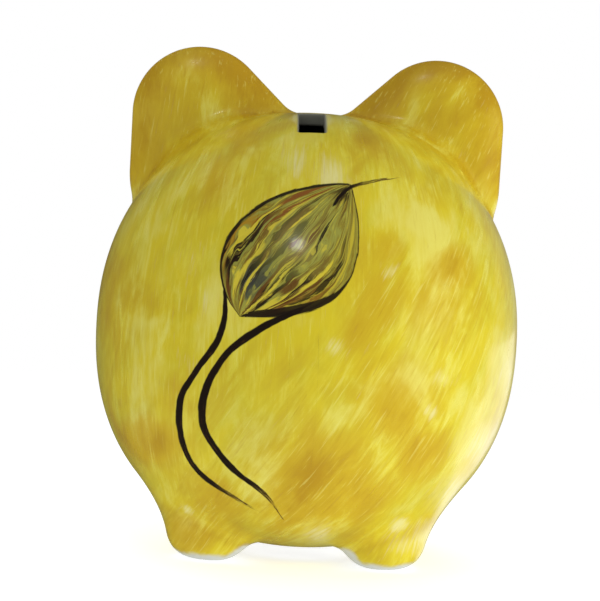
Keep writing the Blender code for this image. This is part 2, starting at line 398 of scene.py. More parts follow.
def settle(field, points, rounds):
    """Move points along a field's slope until they lie on its surface."""
    for _ in range(rounds):
        slope = gradient(field, points)
        length = np.maximum((slope * slope).sum(-1), 0.05)
        step = field(points) / length
        points = points - np.clip(step, -1, 1)[:, None] * slope
    return points


def crossings(values, axis):
    """Which grid edges along an axis cross the surface, and how far along."""
    first = np.moveaxis(values, axis, 0)[:-1]
    second = np.moveaxis(values, axis, 0)[1:]
    crossed = (first < 0) != (second < 0)
    share = np.where(crossed, first / np.where(crossed, first - second, 1), 0)
    return np.moveaxis(crossed, 0, axis), np.moveaxis(share, 0, axis)


def surface_net(field, low, high, cell):
    """A closed quad mesh of the surface where a field is zero: points and faces."""
    axes = [np.arange(low[i], high[i] + cell, cell) for i in range(3)]
    grid = np.stack(np.meshgrid(*axes, indexing="ij"), -1)
    values = field(grid)
    cells = tuple(n - 1 for n in values.shape)
    total = np.zeros(cells + (3,))
    count = np.zeros(cells)
    edges = []
    for axis in range(3):
        crossed, share = crossings(values, axis)
        edges.append(crossed)
        others = [i for i in range(3) if i != axis]
        for a in (0, 1):
            for b in (0, 1):
                window = [slice(None)] * 3
                window[others[0]] = slice(a, a + cells[others[0]])
                window[others[1]] = slice(b, b + cells[others[1]])
                hit = crossed[tuple(window)]
                place = np.zeros(cells + (3,))
                place[..., axis] = share[tuple(window)]
                place[..., others[0]] = a
                place[..., others[1]] = b
                total += place * hit[..., None]
                count += hit
    used = count > 0
    index = np.full(cells, -1)
    index[used] = np.arange(used.sum())
    corner = np.argwhere(used)
    points = np.array(low) + (corner + total[used] / count[used][:, None]) * cell
    faces = []
    for axis in range(3):
        others = [i for i in range(3) if i != axis]
        starts = np.argwhere(edges[axis])
        aside = starts[:, others]
        limits = [cells[other] for other in others]
        starts = starts[((aside > 0) & (aside < limits)).all(-1)]
        around = []
        for a, b in ((0, 0), (-1, 0), (-1, -1), (0, -1)):
            moved = starts.copy()
            moved[:, others[0]] += a
            moved[:, others[1]] += b
            around.append(index[tuple(moved.T)])
        quads = np.stack(around, -1)
        leaving = values[tuple(starts.T)] < 0
        flip = leaving if axis == 1 else ~leaving
        quads[flip] = quads[flip][:, ::-1]
        faces.append(quads)
    return points, np.concatenate(faces)


def relaxed(field, points, faces, rounds):
    """Even out a net's faces while its points stay on the surface."""
    pairs = np.concatenate([faces[:, (i, (i + 1) % 4)] for i in range(4)])
    pairs = np.concatenate([pairs, pairs[:, ::-1]])
    count = np.bincount(pairs[:, 0], minlength=len(points))
    points = settle(field, points, 3)
    for _ in range(rounds):
        middle = np.stack([np.bincount(pairs[:, 0], points[pairs[:, 1], i], len(points))
                           for i in range(3)], -1) / count[:, None]
        slope = gradient(field, points)
        slope /= np.linalg.norm(slope, axis=-1, keepdims=True) + TINY
        move = 0.5 * (middle - points)
        move -= (move * slope).sum(-1, keepdims=True) * slope
        points = settle(field, points + move, 1)
    return points


def add_object(name, data):
    """Put a mesh, a light or a camera into the scene."""
    made = bpy.data.objects.new(name, data)
    bpy.context.scene.collection.objects.link(made)
    return made


def make_object(name, points, faces):
    """A smooth mesh object from points in millimetres from the egg's centre."""
    mesh = bpy.data.meshes.new(name)
    mesh.from_pydata(((points + CENTER) * MM).tolist(), [], faces.tolist())
    mesh.shade_smooth()
    return add_object(name, mesh)


def set_attribute(item, name, values):
    """Store three numbers for each point of a mesh."""
    layer = item.data.attributes.new(name, "FLOAT_VECTOR", "POINT")
    layer.data.foreach_set("vector", values.astype(np.float32).ravel())


# ---- the shell ----

def slot_outline(offset):
    """The slot's rounded outline, grown by an offset, evenly spaced from the middle of its +X side."""
    corner = SLOT_CORNER + offset
    half_x = SLOT_HALF_SIZE[0] + offset - corner
    half_y = SLOT_HALF_SIZE[1] + offset - corner
    turn = corner * math.pi / 2
    ends = np.cumsum([0, half_y, turn, 2 * half_x, turn, 2 * half_y, turn, 2 * half_x, turn, half_y])
    along = np.arange(COLUMNS) / COLUMNS * ends[-1]
    angle = np.interp(along, ends, np.repeat(np.arange(5), 2) * math.pi / 2)
    x = np.interp(along, ends, half_x * np.array([1, 1, 1, -1, -1, -1, -1, 1, 1, 1]))
    y = np.interp(along, ends, half_y * np.array([0, 1, 1, 1, 1, -1, -1, -1, -1, 0]))
    return np.stack([x + corner * np.cos(angle), y + corner * np.sin(angle)], -1)


def slot_points(offset, depth, inner=False):
    """The slot's outline laid on the egg, or on its inner wall, and sunk by a depth."""
    outline = slot_outline(offset)
    lean = Matrix.Rotation(SLOT_TILT, 3, "X")
    across, along, upward = (np.array(lean.col[i]) for i in range(3))
    base = SLOT_MIDDLE + outline[:, :1] * across + outline[:, 1:] * along
    low = np.full(COLUMNS, -14.0)
    high = np.full(COLUMNS, 14.0)
    for _ in range(40):
        middle = (low + high) / 2
        outside = egg_measure(base + middle[:, None] * upward, inner) > 1
        high = np.where(outside, middle, high)
        low = np.where(outside, low, middle)
    return base + (low - depth)[:, None] * upward


def ring(radius, height):
    """A level circle about the egg's axis."""
    angle = np.arange(COLUMNS) / COLUMNS * 2 * math.pi
    return np.stack([radius * np.cos(angle), radius * np.sin(angle), np.full(COLUMNS, height)], -1)


def ring_on_egg(radius, inner=False):
    """A circle about the egg's axis, laid on the egg's underside or on the floor inside it."""
    flat = ring(radius, 0.0)
    drop = (1 - egg_measure(flat, inner) ** KEEL_FULLNESS) ** (1 / KEEL_FULLNESS)
    flat[:, 2] = -(KEEL - BELLY_WALL if inner else KEEL) * drop
    return flat


def between(first, second, shares, inner=False):
    """Rows of points on the egg that swing from one ring to another."""
    start = unit(first)
    end = unit(second)
    angle = np.arccos(np.clip((start * end).sum(-1, keepdims=True), -1, 1))
    rows = []
    for share in shares:
        direction = np.sin((1 - share) * angle) * start + np.sin(share * angle) * end
        rows.append(direction / egg_measure(direction, inner)[:, None])
    return rows


def graded_shares(count, first_size):
    """Shares from 0 to 1 whose steps grow from a fraction of the usual one."""
    sizes = first_size + (1 - first_size) * smooth_ramp(np.arange(count), 0, count / 3)
    return np.concatenate([[0], np.cumsum(sizes) / sizes.sum()])


def shell_rows():
    """The shell's rows of points, from the slot's lip over the outside, the hole and the chamber."""
    rows = []
    for turn in np.radians(np.linspace(0, 90, 6)):
        rows.append(slot_points(SLOT_LIP * (1 - math.cos(turn)), SLOT_LIP * (1 - math.sin(turn))))
    first_outside = len(rows) - 1
    equator = ring(HALF_WIDTH, 0.0)
    rim = ring_on_egg(SEAT_RADIUS + SEAT_EDGE)
    rows += between(rows[-1], equator, graded_shares(ROWS_OUTSIDE[0], 0.3)[1:])
    rows += between(equator, rim, np.linspace(0, 1, ROWS_OUTSIDE[1] + 1)[1:])
    outside = range(first_outside, len(rows))
    wall = ring_on_egg(SEAT_RADIUS)
    for turn in np.radians((30, 60, 90)):
        step = ring_on_egg(SEAT_RADIUS + SEAT_EDGE * (1 - math.sin(turn)))
        step[:, 2] += SEAT_EDGE * (1 - math.cos(turn))
        rows.append(step)
    seat_start = len(rows) - 1
    for share in (0.5, 1.0):
        step = wall.copy()
        step[:, 2] = rows[seat_start][:, 2] * (1 - share) + SEAT_HEIGHT * share
        rows.append(step)
    for radius in np.linspace(SEAT_RADIUS - 0.15, HOLE_RADIUS + HOLE_EDGE, 6):
        rows.append(ring(radius, SEAT_HEIGHT))
    for turn in np.radians((22.5, 45, 67.5, 90)):
        rows.append(ring(HOLE_RADIUS + HOLE_EDGE * (1 - math.sin(turn)),
                         SEAT_HEIGHT + HOLE_EDGE * (1 - math.cos(turn))))
    chamber = ring_on_egg(HOLE_RADIUS, inner=True)
    for share in (0.33, 0.66):
        rows.append(rows[-1] * (1 - share) + (chamber - (0, 0, HOLE_EDGE)) * share)
    for turn in np.radians((0, 30, 60, 90)):
        step = ring_on_egg(HOLE_RADIUS + HOLE_EDGE * (1 - math.cos(turn)), inner=True)
        step[:, 2] -= HOLE_EDGE * (1 - math.sin(turn))
        rows.append(step)
    mouth = slot_points(0.0, 0.0, inner=True)
    rows += between(rows[-1], equator, np.linspace(0, 1, ROWS_INSIDE[1] + 1)[1:], inner=True)
    rows += between(equator, mouth, np.linspace(0, 1, ROWS_INSIDE[0] + 1)[1:], inner=True)
    for share in (0.25, 0.5, 0.75):
        rows.append(mouth * (1 - share) + rows[0] * share)
    return rows, outside


def lift_outside(points, parts):
    """Raise the shell's outer points onto the fillets of the joined pieces."""
    direction = unit(points)
    for _ in range(6):
        egg = egg_distance(points)
        error = egg - shell_rise(points, egg, parts)
        points = points - error[:, None] * direction
    return points


def build_shell(parts):
    """The hollow shell as one closed grid of quads."""
    rows, outside = shell_rows()
    grid = np.stack(rows)
    for row in outside:
        grid[row] = lift_outside(grid[row], parts)
    count = len(rows)
    row, column = np.meshgrid(np.arange(count), np.arange(COLUMNS), indexing="ij")
    here = row * COLUMNS + column
    right = row * COLUMNS + (column + 1) % COLUMNS
    below = (row + 1) % count * COLUMNS + column
    across = (row + 1) % count * COLUMNS + (column + 1) % COLUMNS
    faces = np.stack([here, below, across, right], -1).reshape(-1, 4)
    shell = make_object("shell", grid.reshape(-1, 3), faces)
    inner = np.ones((count, COLUMNS))
    inner[outside.start - 1:outside.stop + 2] = 0
    inner[outside.start - 1] = 0.35
    inner[outside.start - 2] = 0.75
    paint(shell, grid.reshape(-1, 3), parts, "shell", inner.ravel())
    return shell


def build_joined(name, parts):
    """One clay piece that is joined to the shell."""
    field, fillet, (low, high) = parts[name]

    def solid(points):
        return joined_field(points, field, fillet)

    points, faces = surface_net(solid, low, high, CLAY_CELL)
    points = relaxed(solid, points, faces, 4)
    piece = make_object(name + "_clay", points, faces)
    paint(piece, points, parts, name.split("_")[0], np.zeros(len(points)))
    return piece


# ---- where the paint goes ----

def spline(controls):
    """Evenly timed points on a smooth curve through control points."""
    controls = np.array(controls, float)
    ends = np.concatenate([[2 * controls[0] - controls[1]], controls, [2 * controls[-1] - controls[-2]]])
    places = []
    for time in np.linspace(0, len(controls) - 1 - TINY, LINE_POINTS):
        start = int(time)
        t = time - start
        a, b, c, d = ends[start:start + 4]
        places.append(0.5 * (2 * b + (c - a) * t + (2 * a - 5 * b + 4 * c - d) * t * t
                             + (3 * b - a - 3 * c + d) * t ** 3))
    return np.array(places)


def line_length(controls):
    """How long a brush line is."""
    return float(np.linalg.norm(np.diff(spline(controls), axis=0), axis=-1).sum())


def line_layout(places, controls, widths):
    """For each place: how far it is off a brush line, how far along, and the line's half width."""
    curve = spline(controls)
    tangent = unit(np.gradient(curve, axis=0))
    apart = places[:, None] - curve[None]
    nearest = (apart ** 2).sum(-1).argmin(1)
    offset = places - curve[nearest]
    heading = tangent[nearest]
    off = offset[:, 0] * heading[:, 1] - offset[:, 1] * heading[:, 0]
    beyond = (offset * heading).sum(-1)
    length = np.concatenate([[0], np.cumsum(np.linalg.norm(np.diff(curve, axis=0), axis=-1))])
    along = length[nearest] + beyond
    share = np.clip(along / length[-1], 0, 1)
    half = np.interp(share, (0, 0.12, 0.5, 0.85, 1), (widths[0], widths[1] * 0.9, widths[1],
                                                     widths[1] * 0.7, widths[2]))
    half *= smooth_ramp(along, -1.0, 0.5) * smooth_ramp(-along, -length[-1] - 1.0, -length[-1] + 0.5)
    return np.stack([off, along, half], -1)


def bud_layout(places):
    """For each place: the share along the bud, the share across it, and the depth inside it."""
    axis = BUD_TIP - BUD_BASE
    length = np.linalg.norm(axis)
    axis = axis / length
    offset = places - BUD_BASE
    along = (offset @ axis) / length
    across = offset[:, 0] * axis[1] - offset[:, 1] * axis[0]
    inside = np.clip(along, 0.0, 1.0)
    widths = []
    for widest, base, tip in (BUD_LEFT, BUD_RIGHT):
        peak = base / (base + tip)
        top = peak ** base * (1 - peak) ** tip
        widths.append(widest * inside ** base * (1 - inside) ** tip / top)
    width = np.where(across < 0, widths[0], widths[1])
    depth = width - np.abs(across) - length * np.maximum(np.abs(along - 0.5) - 0.5, 0)
    return np.stack([along, np.clip(across / np.maximum(width, 1.0), -1.5, 1.5), depth], -1)


def spots(places, centers):
    """1 at each spot's middle and 0 past its radius, with soft sides."""
    total = np.zeros(len(places))
    for x, y, radius, strength in centers:
        apart = np.hypot(places[:, 0] - x, places[:, 1] - y) / radius
        total = np.maximum(total, strength * smooth_ramp(1 - apart, 0, 1))
    return total


def brush_flow(points, kind):
    """Places on the surface as the brush sees them: across, along, and apart from other surfaces."""
    if kind == "ear":
        side = np.sign(points[:, 0].mean())
        across, through, up = ear_axes(points, side)
        return np.stack([-side * across + side * 70, up, through * 0.5], -1)
    if kind == "snout":
        return np.stack([-points[:, 0], points[:, 2], np.full(len(points), 60.0)], -1)
    direction = unit(points)
    angle = np.arccos(np.clip(np.abs(direction[:, 1]), 0, 1))
    spread = FLOW_RADIUS * angle / np.maximum(np.sin(angle), TINY)
    ahead = 0.3 * np.minimum(points[:, 1], 0)
    return np.stack([-direction[:, 0] * spread, direction[:, 2] * spread, ahead], -1)


def tone(points, places, parts, kind):
    """How much ochre, gathered paint and pale paint there is at points: the gathered paint is also painted
    crease shade, the ochre on the ears' tops and rims is partly painted shade, and the pale paint is partly
    painted sheen, highlights and lightening.
    """
    behind = smooth_ramp(points[:, 1], *BACK_BEGINS)
    egg = egg_distance(points)
    crease = np.zeros(len(points))
    ear_near = np.zeros(len(points))
    for name, (field, fillet, _box) in parts.items():
        apart = field(points) - egg
        width, strength, full_fillet = CREASES[name.split("_")[0]]
        strength = strength * np.minimum(full_fillet / fillet(points), 1)
        # Paint gathered in each joint's crease, which also paints the shade of the crease.
        crease = np.maximum(crease, strength * np.exp(-(apart / width) ** 2))
        if name.startswith("ear"):
            ear_near = np.maximum(ear_near, np.exp(-(np.maximum(apart, 0) / EAR_WASH[0]) ** 2))
    ochre = EAR_WASH[1] * ear_near * (kind != "foot") + SNOUT_WASH * (kind == "snout")
    if kind == "ear":
        across, _through, up = ear_axes(points, np.sign(points[:, 0].mean()))
        # More ochre toward the ear's top and rim, partly painted shade of its rounded edges.
        rim = smooth_ramp(np.hypot(across, up), 7, EAR_TIP_RADIUS + 1) * smooth_ramp(up, -14, 2)
        ochre = np.maximum(ochre, EAR_PAINT_AND_RIM_SHADE[0] + EAR_PAINT_AND_RIM_SHADE[1] * rim)
    ochre = np.maximum(ochre, behind * spots(places, OCHRE_SPOTS))
    slot_reach = (SLOT_HALF_SIZE[0] + SLOT_MARGIN[0], SLOT_HALF_SIZE[1] + SLOT_MARGIN[0], SLOT_MARGIN[1])
    slot_near = np.linalg.norm((points - SLOT_MIDDLE) / slot_reach, axis=-1)
    # Pale paint, partly a painted sheen, painted highlights and painted lightening, and the pale rim round
    # the slot.
    pale = np.maximum(behind * spots(places, PALE_PAINT_AND_SHEEN_SPOTS), 0.9 * smooth_ramp(1.15 - slot_near, 0, 0.5))
    return np.stack([ochre, crease, pale * (kind != "ear")], -1)


def eye_depth(points):
    """How deep points are inside the painted eyes."""
    depth = np.zeros(len(points))
    for side in (-1, 1):
        eye = (points * (side, 1, 1) - EYE_PLACE) / EYE_SIZE
        depth = np.maximum(depth, 1.5 - np.linalg.norm(eye, axis=-1))
    return depth


def paint_drawing(item, points, places):
    """Store on a mesh where the bud and its brush lines go."""
    on_back = points[:, 1] > DRAWING_FROM
    bud = bud_layout(places)
    bud[~on_back, 2] = -20.0
    set_attribute(item, "bud", bud)
    for name, (controls, widths) in BRUSH_LINES.items():
        layout = np.zeros((len(points), 3))
        low = np.min(controls, axis=0) - 4
        high = np.max(controls, axis=0) + 4
        near = on_back & ((places > low) & (places < high)).all(-1)
        layout[near] = line_layout(places[near], controls, widths)
        layout[~near, 0] = 5.0
        set_attribute(item, name, layout)


def paint(item, points, parts, kind, interior):
    """Store on a mesh of a kind where each paint goes."""
    places = np.stack([-points[:, 0], points[:, 2]], -1)
    set_attribute(item, "flow", brush_flow(points, kind))
    set_attribute(item, "tone", tone(points, places, parts, kind))
    foot = np.full(len(points), float(kind == "foot"))
    set_attribute(item, "zone", np.stack([interior, foot, eye_depth(points)], -1))
    paint_drawing(item, points, places)


# ---- materials ----

def srgb(red, green, blue):
    """A linear colour from the usual 0 to 255 values."""
    return tuple(((c / 255 + 0.055) / 1.055) ** 2.4 if c > 10 else c / 255 / 12.92
                 for c in (red, green, blue)) + (1.0,)


LEMON = srgb(212, 193, 32)
LEMON_GREEN = srgb(205, 195, 40)
LEMON_PALE = srgb(221, 210, 74)
LEMON_THIN = srgb(224, 216, 112)
CREAM = srgb(228, 222, 152)
OCHRE = srgb(196, 163, 26)
OCHRE_DEEP = srgb(174, 132, 16)
OLIVE = srgb(138, 120, 26)
UMBER = srgb(100, 62, 14)
DARK_UMBER = srgb(28, 17, 7)
RUSSET = srgb(132, 70, 12)
SLATE = srgb(56, 62, 58)
BUD_GREEN = srgb(152, 150, 58)
BUD_YELLOW = srgb(214, 196, 50)
BARE_CLAY = srgb(198, 200, 192)
# Bare clay inside the shell, the slot and the stopper's seat, painted darker than the bare foot rims as shade
# in these hollows.
SHADED_INNER_CLAY = srgb(120, 120, 108)
RUBBER = srgb(205, 202, 192)
RUBBER_BLOOM = srgb(188, 184, 172)
RUBBER_GRAIN = srgb(150, 146, 134)

# Broad strokes inside the bud: where across it, half width, from and to along it, and the colour.
# Thin ones in turns of these colours lie over them.
BUD_STROKES = [
    (-0.28, 0.2, 0.12, 0.4, SLATE), (-0.92, 0.05, 0.06, 0.5, OCHRE_DEEP),
    (-0.84, 0.05, 0.45, 0.9, RUSSET), (-0.8, 0.03, 0.12, 0.62, DARK_UMBER),
    (-0.7, 0.07, 0, 0.6, UMBER), (-0.62, 0.03, 0.4, 0.92, RUSSET),
    (-0.7, 0.04, 0.1, 0.5, DARK_UMBER), (-0.56, 0.035, 0.05, 0.78, BUD_YELLOW),
    (-0.44, 0.03, 0.3, 0.9, DARK_UMBER), (-0.38, 0.06, 0.3, 0.74, UMBER), (0, 0.07, 0, 0.62, UMBER),
    (0.02, 0.03, 0.02, 0.4, DARK_UMBER), (0.14, 0.05, 0.02, 0.45, BUD_YELLOW),
    (0.28, 0.035, 0.18, 0.44, DARK_UMBER), (0.36, 0.03, 0.26, 0.6, UMBER),
    (0.4, 0.05, 0.06, 0.5, BUD_YELLOW), (0.54, 0.08, 0.08, 0.44, UMBER),
    (0.6, 0.03, 0.12, 0.34, DARK_UMBER), (0.72, 0.09, 0.12, 0.5, RUSSET),
    (0.68, 0.025, 0.2, 0.58, DARK_UMBER), (0.8, 0.025, 0.15, 0.66, UMBER),
    (0.84, 0.035, 0.3, 0.95, BUD_YELLOW),
]

THIN_STROKES = 22
THIN_STROKE_COLORS = (DARK_UMBER, BUD_YELLOW, UMBER, BUD_GREEN, DARK_UMBER, BUD_YELLOW)

# Short dabs laid last.
BUD_DABS = [
    (0.2, 0.028, 0.3, 0.5, DARK_UMBER), (0.34, 0.045, 0.26, 0.44, UMBER),
    (0.44, 0.028, 0.22, 0.46, DARK_UMBER), (0.52, 0.03, 0.34, 0.6, BUD_YELLOW),
    (0.6, 0.045, 0.18, 0.5, UMBER), (0.7, 0.028, 0.26, 0.62, DARK_UMBER),
    (0.04, 0.02, 0.48, 0.76, UMBER), (-0.16, 0.022, 0.46, 0.8, UMBER),
    (0.24, 0.02, 0.56, 0.8, DARK_UMBER), (-0.34, 0.018, 0.55, 0.85, BUD_YELLOW),
]


def thin_strokes():
    """Thin strokes side by side over the whole bud, each starting and ending in its own place."""
    strokes = []
    for place in range(THIN_STROKES):
        across = -0.92 + 0.086 * place
        start = 0.05 + 0.22 * ((place * 5) % 7) / 7
        length = 0.22 + 0.34 * ((place * 3) % 5) / 5
        color = THIN_STROKE_COLORS[(place * 5) % 6]
        strokes.append((across, 0.018 + 0.008 * (place % 3), start, start + length, color))
    return strokes


def put(tree, value, socket):
    """Feed a socket with a value or with another node's output."""
    if isinstance(value, bpy.types.NodeSocket):
        tree.links.new(value, socket)
    else:
        socket.default_value = value


def add_node(tree, kind, *values):
    """A new node with its first sockets fed."""
    node = tree.nodes.new("ShaderNode" + kind)
    for socket, value in zip(node.inputs, values):
        put(tree, value, socket)
    return node


class Nodes:
    """A material's node tree, with short ways to add what the materials here need."""

    def __init__(self, name):
        self.material = bpy.data.materials.new(name)
        self.material.use_nodes = True
        self.tree = self.material.node_tree
        self.shader = self.tree.nodes["Principled BSDF"]
        self.place = self.add("TexCoord").outputs["Object"]

    def feed(self, name, value):
        """Feed one of the shader's own sockets."""
        put(self.tree, value, self.shader.inputs[name])

    def add(self, kind, *values):
        """A new node of the material with its first sockets fed."""
        return add_node(self.tree, kind, *values)

    def math(self, operation, first, second=0.0, clamp=False):
        """A sum, or another operation on one or two numbers."""
        node = self.add("Math", first, second)
        node.operation = operation
        node.use_clamp = clamp
        return node.outputs[0]

    def plus(self, first, second):
        """The sum of two numbers."""
        return self.math("ADD", first, second)

    def minus(self, first, second):
        """The difference of two numbers."""
        return self.math("SUBTRACT", first, second)

    def times(self, first, second):
        """The product of two numbers."""
        return self.math("MULTIPLY", first, second)

    def swing(self, noise, reach, middle=0.5):
        """How far a noise is from its middle, times a reach."""
        return self.times(self.minus(noise, middle), reach)

    def sway(self, value, noise, reach, middle=0.5):
        """A value that a noise moves up and down."""
        return self.plus(value, self.swing(noise, reach, middle))

    def away(self, value, middle=0.0):
        """How far a value is from a middle, on either side."""
        return self.math("ABSOLUTE", self.minus(value, middle) if middle else value)

    def ramp(self, value, start, end, low=0.0, high=1.0):
        """A soft step between two values."""
        node = self.add("MapRange", value, start, end, low, high)
        node.interpolation_type = "SMOOTHSTEP"
        return node.outputs[0]

    def noise(self, size, stretch=1, turn=0, seed=0.0, detail=3.0, rough=0.55, warp=0.0, place=None):
        """Noise with features of a size, so many times as long upward, turned by so many degrees."""
        turned = self.add("Mapping", self.place if place is None else place)
        turned.inputs["Rotation"].default_value = (0, 0, math.radians(turn))
        unit = MM if place is None else 1.0
        scales = [1 / (unit * size * s) for s in (1, stretch, 1)]
        scaled = self.add("VectorMath", turned.outputs[0], scales, (seed, seed * 1.7, seed * 0.6))
        scaled.operation = "MULTIPLY_ADD"
        node = self.add("TexNoise", scaled.outputs[0])
        for name, value in (("Scale", 1), ("Detail", detail), ("Roughness", rough), ("Distortion", warp)):
            node.inputs[name].default_value = value
        return node.outputs["Fac"]

    def mix(self, share, first, second):
        """A colour between two others."""
        node = self.add("Mix", share)
        node.data_type = "RGBA"
        put(self.tree, first, node.inputs[6])
        put(self.tree, second, node.inputs[7])
        return node.outputs[2]

    def layer(self, color, paint_color, value, start, end, most=1.0):
        """A paint over a colour, the more of it the nearer a value is to the end of its way."""
        return self.mix(self.ramp(value, start, end, 0.0, most), color, paint_color)

    def between(self, share, first, second):
        """A number between two others."""
        node = self.add("Mix", share)
        put(self.tree, first, node.inputs[2])
        put(self.tree, second, node.inputs[3])
        return node.outputs[0]

    def vector(self, name):
        """The vector that a mesh stores under a name."""
        source = self.add("Attribute")
        source.attribute_name = name
        return source.outputs["Vector"]

    def split(self, vector):
        """A vector's three numbers."""
        return tuple(self.add("SeparateXYZ", vector).outputs)

    def stored(self, name):
        """The three numbers that a mesh stores under a name."""
        return self.split(self.vector(name))

    def join(self, x, y, z):
        """A vector from three numbers."""
        return self.add("CombineXYZ", x, y, z).outputs[0]

    def bump(self, height, strength, depth):
        """A surface normal from a height, with the full height in millimetres."""
        node = self.add("Bump", strength, depth * MM)
        put(self.tree, height, node.inputs["Height"])
        self.feed("Normal", node.outputs[0])


def brushed_ground(nodes, ochre, pale):
    """Lemon strokes over white, and ochre washes over those."""
    flow = nodes.vector("flow")
    right, up, _apart = nodes.stored("flow")
    upright = nodes.noise(4.2, 5, seed=2.0, detail=5, rough=0.66, warp=0.9, place=flow)
    hair = nodes.noise(0.6, 18, seed=5.0, detail=2, rough=0.6, warp=0.3, place=flow)
    slanted = nodes.noise(3.8, 4.5, 27, seed=9.0, detail=5, rough=0.66, warp=0.9, place=flow)
    slanted_hair = nodes.noise(0.6, 16, 30, seed=4.0, detail=2, warp=0.3, place=flow)
    clouds = nodes.noise(17.0, 1.4, seed=7.0, detail=3, rough=0.5, warp=0.4, place=flow)
    drifts = nodes.noise(8.0, 2.4, 24, seed=12.0, detail=4, rough=0.55, warp=0.5, place=flow)
    lower_right = nodes.minus(nodes.times(right, 1 / 45), nodes.times(up, 1 / 50))
    leaning = nodes.ramp(nodes.plus(lower_right, nodes.times(drifts, 1.6)), 0.55, 1.0)
    stroke = nodes.between(leaning, upright, slanted)
    hairs = nodes.between(leaning, hair, slanted_hair)
    cover = nodes.plus(nodes.times(stroke, 0.75), nodes.times(hairs, 0.25))
    ground = nodes.layer(LEMON_PALE, LEMON, cover, 0.32, 0.56)
    ground = nodes.layer(ground, LEMON_GREEN, drifts, 0.42, 0.62, 0.6)
    thin = nodes.plus(nodes.times(clouds, 0.7), nodes.times(stroke, 0.3))
    ground = nodes.layer(ground, LEMON_THIN, thin, 0.50, 0.34, 0.6)
    wash = nodes.sway(ochre, cover, 1.4)
    wash = nodes.sway(wash, clouds, 2.4)
    wash = nodes.sway(wash, drifts, 1.8, middle=0.45)
    ground = nodes.layer(ground, OCHRE, wash, -0.05, 1.0, 0.85)
    ground = nodes.layer(ground, OCHRE_DEEP, wash, 0.8, 1.7, 0.75)
    # Cream where the tone is pale: pale paint, and partly a painted sheen and painted highlights.
    pale_paint_and_sheen = nodes.sway(nodes.sway(pale, hairs, 1.6), stroke, 2.0)
    ground = nodes.layer(ground, CREAM, pale_paint_and_sheen, 0.35, 1.2, 0.75)
    ground = nodes.layer(ground, LEMON_THIN, hairs, 0.40, 0.28, 0.35)
    return nodes.layer(ground, OCHRE_DEEP, hairs, 0.60, 0.74, 0.25), cover


def laid_strokes(nodes, color, strokes, across, fray, along):
    """Strokes laid over a colour, each fading out at its sides and at its ends."""
    for middle, half, start, end, paint_color in strokes:
        side = nodes.plus(nodes.away(across, middle), fray)
        cover = nodes.ramp(side, half * 1.3, half * 0.6)
        begun = nodes.ramp(along, start - 0.03, start + 0.04)
        ended = nodes.ramp(along, end + 0.04, end - 0.05)
        cover = nodes.times(cover, nodes.times(begun, ended))
        color = nodes.mix(nodes.times(cover, 0.9), color, paint_color)
    return color


def bud_colors(nodes, flow, broad, fine):
    """The bud's blotches of brown, olive, green and yellow, with thin streaks over them."""
    tone = nodes.plus(nodes.times(broad, 0.6), nodes.times(fine, 0.4))
    color = nodes.layer(UMBER, OLIVE, tone, 0.39, 0.47)
    color = nodes.layer(color, BUD_GREEN, tone, 0.45, 0.53)
    color = nodes.layer(color, BUD_YELLOW, tone, 0.55, 0.63)
    color = nodes.layer(color, DARK_UMBER, tone, 0.41, 0.35, 0.8)
    thin = nodes.noise(0.028, 9, seed=18.0, detail=2, rough=0.6, warp=0.5, place=flow)
    color = nodes.layer(color, UMBER, thin, 0.56, 0.64, 0.7)
    return nodes.layer(color, BUD_YELLOW, thin, 0.42, 0.34, 0.6)


def bud_shades(nodes, color, along, across):
    """A green haze over the bud's middle, partly a painted sheen, and an olive shade down its right side."""
    upper = nodes.away(along, 0.58)
    # Pale green over the bud's middle, partly a painted sheen.
    green_haze_and_sheen = nodes.times(nodes.ramp(nodes.away(across, 0.02), 0.75, 0.3), nodes.ramp(upper, 0.4, 0.15))
    color = nodes.mix(nodes.times(green_haze_and_sheen, 0.36), color, BUD_GREEN)
    shade = nodes.times(nodes.ramp(across, 0.4, 0.75), nodes.ramp(upper, 0.5, 0.3))
    return nodes.mix(nodes.times(shade, 0.4), color, OLIVE)


def bud_edges(nodes, color, along, across, ragged, uneven):
    """A dark outline, heavy at the lower right, and a dark tip."""
    lower_right = nodes.times(nodes.ramp(across, -0.1, 0.6), nodes.ramp(along, 0.62, 0.22))
    width = nodes.plus(nodes.ramp(across, -0.9, 0.5, 0.75, 0.35), nodes.times(lower_right, 2.4))
    color = nodes.layer(color, DARK_UMBER, nodes.minus(width, ragged), -0.3, 0.1, 0.95)
    tip = nodes.times(nodes.ramp(uneven, 0.86, 0.91), nodes.ramp(uneven, 0.97, 0.93))
    tip = nodes.times(tip, nodes.ramp(nodes.away(across), 0.7, 0.2, 0.0, 0.9))
    return nodes.mix(tip, color, DARK_UMBER)


def painted_bud(nodes, ground):
    """A bud in strokes that run along it, over the ground: the colour, and where the bud is."""
    along, across, depth = nodes.stored("bud")
    curl = nodes.noise(0.35, 1.3, seed=15.0, detail=2, place=nodes.join(across, along, 0.0))
    bent = nodes.sway(across, curl, 0.5)
    flow = nodes.join(bent, along, 0.0)
    broad = nodes.noise(0.16, 2.6, seed=3.0, detail=4, rough=0.7, warp=1.2, place=flow)
    fine = nodes.noise(0.05, 5, seed=8.0, detail=3, rough=0.65, warp=0.8, place=flow)
    ragged = nodes.sway(depth, fine, 1.1)
    wandered = nodes.sway(bent, broad, 0.17)
    uneven = nodes.sway(along, fine, 0.3)
    fray = nodes.swing(fine, 0.16)
    color = bud_colors(nodes, flow, broad, fine)
    color = laid_strokes(nodes, color, BUD_STROKES + thin_strokes(), wandered, fray, uneven)
    color = bud_shades(nodes, color, along, across)
    color = laid_strokes(nodes, color, BUD_DABS, wandered, fray, uneven)
    color = bud_edges(nodes, color, along, across, ragged, uneven)
    inside = nodes.ramp(ragged, -0.1, 0.25)
    return nodes.mix(inside, ground, color), inside


